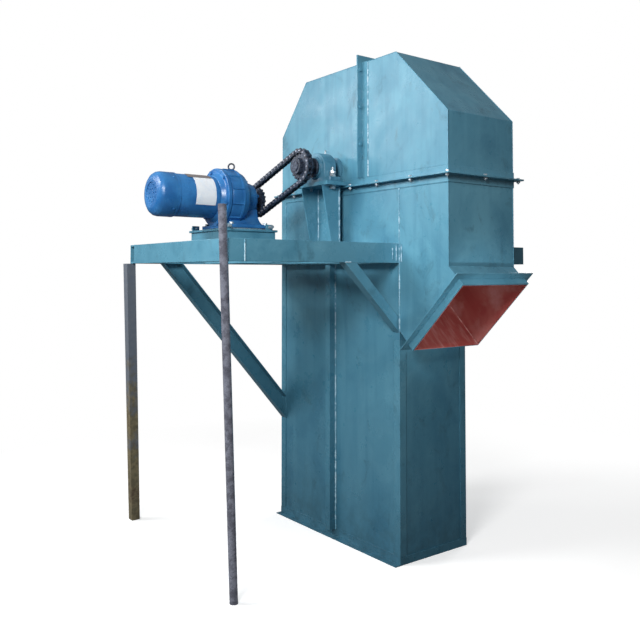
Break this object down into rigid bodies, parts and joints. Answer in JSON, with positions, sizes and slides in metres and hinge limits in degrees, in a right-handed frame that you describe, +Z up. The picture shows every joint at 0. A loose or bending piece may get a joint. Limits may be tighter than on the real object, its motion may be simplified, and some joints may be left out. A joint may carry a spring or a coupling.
{
  "type": "bucket elevator head section",
  "caption": "Head section of a bucket elevator: sheet-steel casing with bolted hood, sloping discharge chute, head shaft driven by a roller chain from a gearmotor on a bracket platform.",
  "frame": {"origin": "Centre of the four bolt holes in the foot frame, on the floor under the middle of the casing.", "axes": "X runs along the casing towards the discharge chute, Y from the drive side towards the back, Z up."},
  "size_m": [1.9458, 2.0586, 2.66],
  "materials": {
    "casing_paint": "satin teal-blue paint",
    "frame_paint": "satin teal-blue paint",
    "red_primer": "matt red oxide primer",
    "motor_blue": "gloss blue enamel",
    "dark_steel": "oiled dark steel",
    "bright_steel": "turned steel",
    "rusty_steel": "rusty bare steel"
  },
  "bodies": {
    "frame": {"bearing_blocks": "frame_paint", "bearing_brackets": "frame_paint", "brace_far": "frame_paint", "brace_near": "frame_paint", "casing_left": "casing_paint", "casing_right": "casing_paint", "casing_sides": "casing_paint", "chute_flange": "frame_paint", "chute_floor": "red_primer", "chute_sides": "casing_paint", "corner_angles": "frame_paint", "corner_post": "rusty_steel", "drive_chain": "dark_steel", "face_stiffeners": "frame_paint", "fan_cowl": "motor_blue", "foot_frame": "frame_paint", "gear_ring": "motor_blue", "head_end": "casing_paint", "hood_left_cover": "casing_paint", "hood_left_sides": "casing_paint", "hood_right_cover": "casing_paint", "hood_right_sides": "casing_paint", "hood_seam_left": "frame_paint", "hood_seam_right": "frame_paint", "joint_ring_lower": "frame_paint", "joint_ring_upper": "frame_paint", "motor_base": "frame_paint", "motor_base_plate": "frame_paint", "motor_body": "motor_blue", "motor_cross_beams": "frame_paint", "packing_plate": "bright_steel", "pipe_prop": "rusty_steel", "platform_cross_beams": "frame_paint", "platform_side_beams": "frame_paint", "rear_braces": "frame_paint", "rear_cross_beams": "frame_paint", "rear_side_beams": "frame_paint", "reducer_foot": "motor_blue", "reducer_housing": "motor_blue", "terminal_box": "motor_blue"},
    "head_rotor": {"head_shaft": "bright_steel", "head_pulley": "bright_steel", "head_sprocket": "dark_steel"},
    "motor_rotor": {"output_shaft": "bright_steel", "motor_sprocket": "dark_steel"}
  },
  "joints": [
    {"name": "head_shaft_turn", "type": "hinge", "parent": "frame", "child": "head_rotor", "pos_m": [0, 0, 2.06], "axis": [0, 1, 0], "continuous": true},
    {"name": "output_shaft_turn", "type": "hinge", "parent": "frame", "child": "motor_rotor", "pos_m": [-0.4335, 0, 1.905], "axis": [0, 1, 0], "continuous": true}
  ],
  "couplings": [
    {"joint": "output_shaft_turn", "follows": "head_shaft_turn", "ratio": 1}
  ]
}
